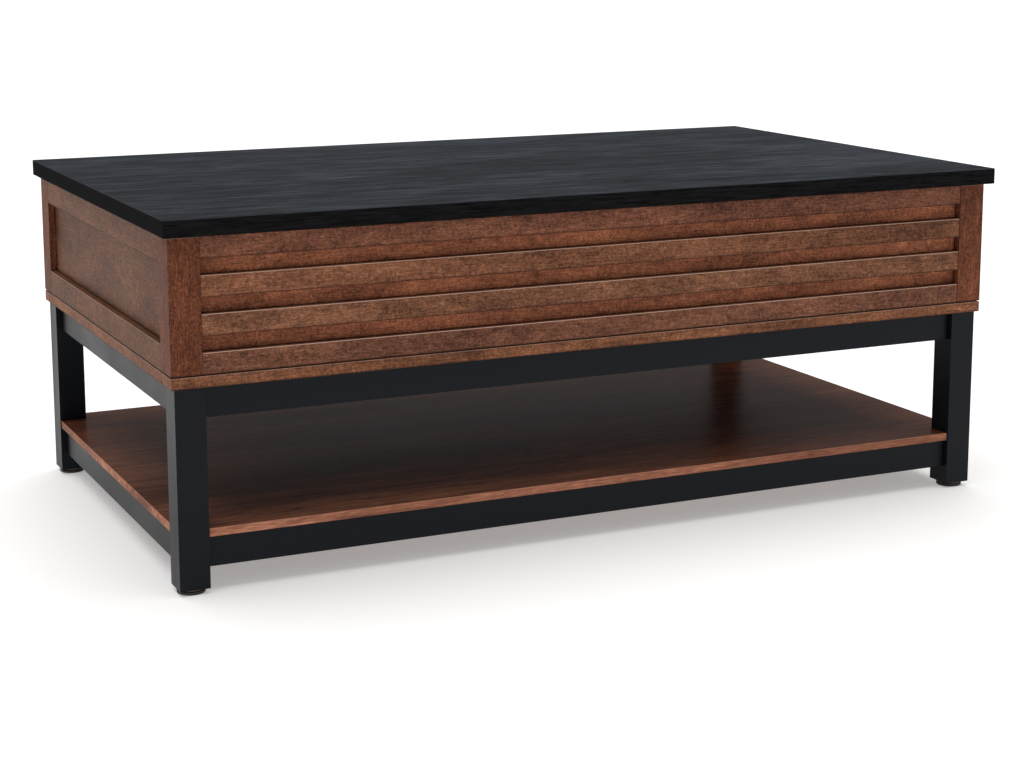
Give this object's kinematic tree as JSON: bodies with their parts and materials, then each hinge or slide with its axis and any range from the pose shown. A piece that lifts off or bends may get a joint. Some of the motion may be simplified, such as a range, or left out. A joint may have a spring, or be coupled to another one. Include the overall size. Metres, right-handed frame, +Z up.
{
  "type": "lift top coffee table",
  "caption": "Rectangular coffee table with a slatted storage case, an open lower shelf and a top that lifts up and forward on parallel arms.",
  "frame": {"origin": "centre of the footprint on the floor", "axes": "+X along the table's length, +Y towards the rear, +Z up; the front is -Y"},
  "size_m": [1.219, 0.711, 0.471],
  "materials": {
    "top_wood": "satin black stained open grain",
    "case_wood": "satin reddish brown stain",
    "black_paint": "smooth satin black paint",
    "plain_wood": "sawn, unfinished",
    "foot_plastic": "matte",
    "bronze": "dull bronze plating",
    "bumper_rubber": "matte",
    "black_steel": "black powder coat",
    "bright_steel": "zinc plated",
    "spring_steel": "zinc plated wire"
  },
  "bodies": {
    "frame": {"leg_front_left": "black_paint", "leg_front_right": "black_paint", "leg_rear_left": "black_paint", "leg_rear_right": "black_paint", "lower_rail_front": "black_paint", "lower_rail_rear": "black_paint", "lower_rail_left": "black_paint", "lower_rail_right": "black_paint", "upper_rail_front": "black_paint", "upper_rail_rear": "black_paint", "upper_rail_left": "black_paint", "upper_rail_right": "black_paint", "shelf": "case_wood", "corner_blocks": "plain_wood", "leg_inserts": "bronze", "base_frame_front": "case_wood", "base_frame_rear": "case_wood", "base_frame_left": "case_wood", "base_frame_right": "case_wood", "storage_floor": "case_wood", "corner_post_front_left": "case_wood", "corner_post_front_right": "case_wood", "corner_post_rear_left": "case_wood", "corner_post_rear_right": "case_wood", "front_backboard": "case_wood", "rear_backboard": "case_wood", "front_slat_1": "case_wood", "front_slat_2": "case_wood", "front_slat_3": "case_wood", "front_slat_4": "case_wood", "rear_slat_1": "case_wood", "rear_slat_2": "case_wood", "rear_slat_3": "case_wood", "rear_slat_4": "case_wood", "side_bottom_rail_left": "case_wood", "side_top_rail_left": "case_wood", "side_bottom_rail_right": "case_wood", "side_top_rail_right": "case_wood", "side_panel_left": "case_wood", "side_panel_right": "case_wood", "rim_bumpers": "bumper_rubber", "base_bracket_left": "black_steel", "base_bracket_right": "black_steel", "bracket_screws": "bright_steel", "lower_pivot_pins": "bright_steel", "lift_springs": "spring_steel"},
    "rear_arms": {"rear_arm_left": "black_steel", "rear_arm_right": "black_steel", "cross_tube": "black_steel"},
    "top": {"top_panel": "top_wood", "top_bracket_left": "black_steel", "top_bracket_right": "black_steel", "top_bracket_screws": "bright_steel", "upper_pivot_pins": "bright_steel"},
    "front_arm_left": {"front_arm_left": "black_steel"},
    "front_arm_right": {"front_arm_right": "black_steel"},
    "foot_front_left": {"foot_front_left": "foot_plastic"},
    "foot_front_right": {"foot_front_right": "foot_plastic"},
    "foot_rear_left": {"foot_rear_left": "foot_plastic"},
    "foot_rear_right": {"foot_rear_right": "foot_plastic"}
  },
  "joints": [
    {"name": "lift", "type": "hinge", "parent": "frame", "child": "rear_arms", "pos_m": [0, 0, 0.385], "axis": [1, 0, 0], "range_deg": [0, 122], "deforming": ["lift_springs"]},
    {"name": "top_level", "type": "hinge", "parent": "rear_arms", "child": "top", "pos_m": [0, 0.27655, 0.4288], "axis": [1, 0, 0], "range_deg": [-122, 0]},
    {"name": "front_arm_left_swing", "type": "hinge", "parent": "frame", "child": "front_arm_left", "pos_m": [-0.573, -0.14, 0.385], "axis": [1, 0, 0], "range_deg": [0, 122]},
    {"name": "front_arm_right_swing", "type": "hinge", "parent": "frame", "child": "front_arm_right", "pos_m": [0.573, -0.14, 0.385], "axis": [1, 0, 0], "range_deg": [0, 122]},
    {"name": "foot_front_left_level", "type": "slide", "parent": "frame", "child": "foot_front_left", "axis": [0, 0, -1], "range_m": [0, 0.008]},
    {"name": "foot_front_right_level", "type": "slide", "parent": "frame", "child": "foot_front_right", "axis": [0, 0, -1], "range_m": [0, 0.008]},
    {"name": "foot_rear_left_level", "type": "slide", "parent": "frame", "child": "foot_rear_left", "axis": [0, 0, -1], "range_m": [0, 0.008]},
    {"name": "foot_rear_right_level", "type": "slide", "parent": "frame", "child": "foot_rear_right", "axis": [0, 0, -1], "range_m": [0, 0.008]}
  ],
  "couplings": [
    {"joint": "top_level", "follows": "lift", "ratio": -1},
    {"joint": "front_arm_left_swing", "follows": "lift", "ratio": 1},
    {"joint": "front_arm_right_swing", "follows": "lift", "ratio": 1}
  ]
}
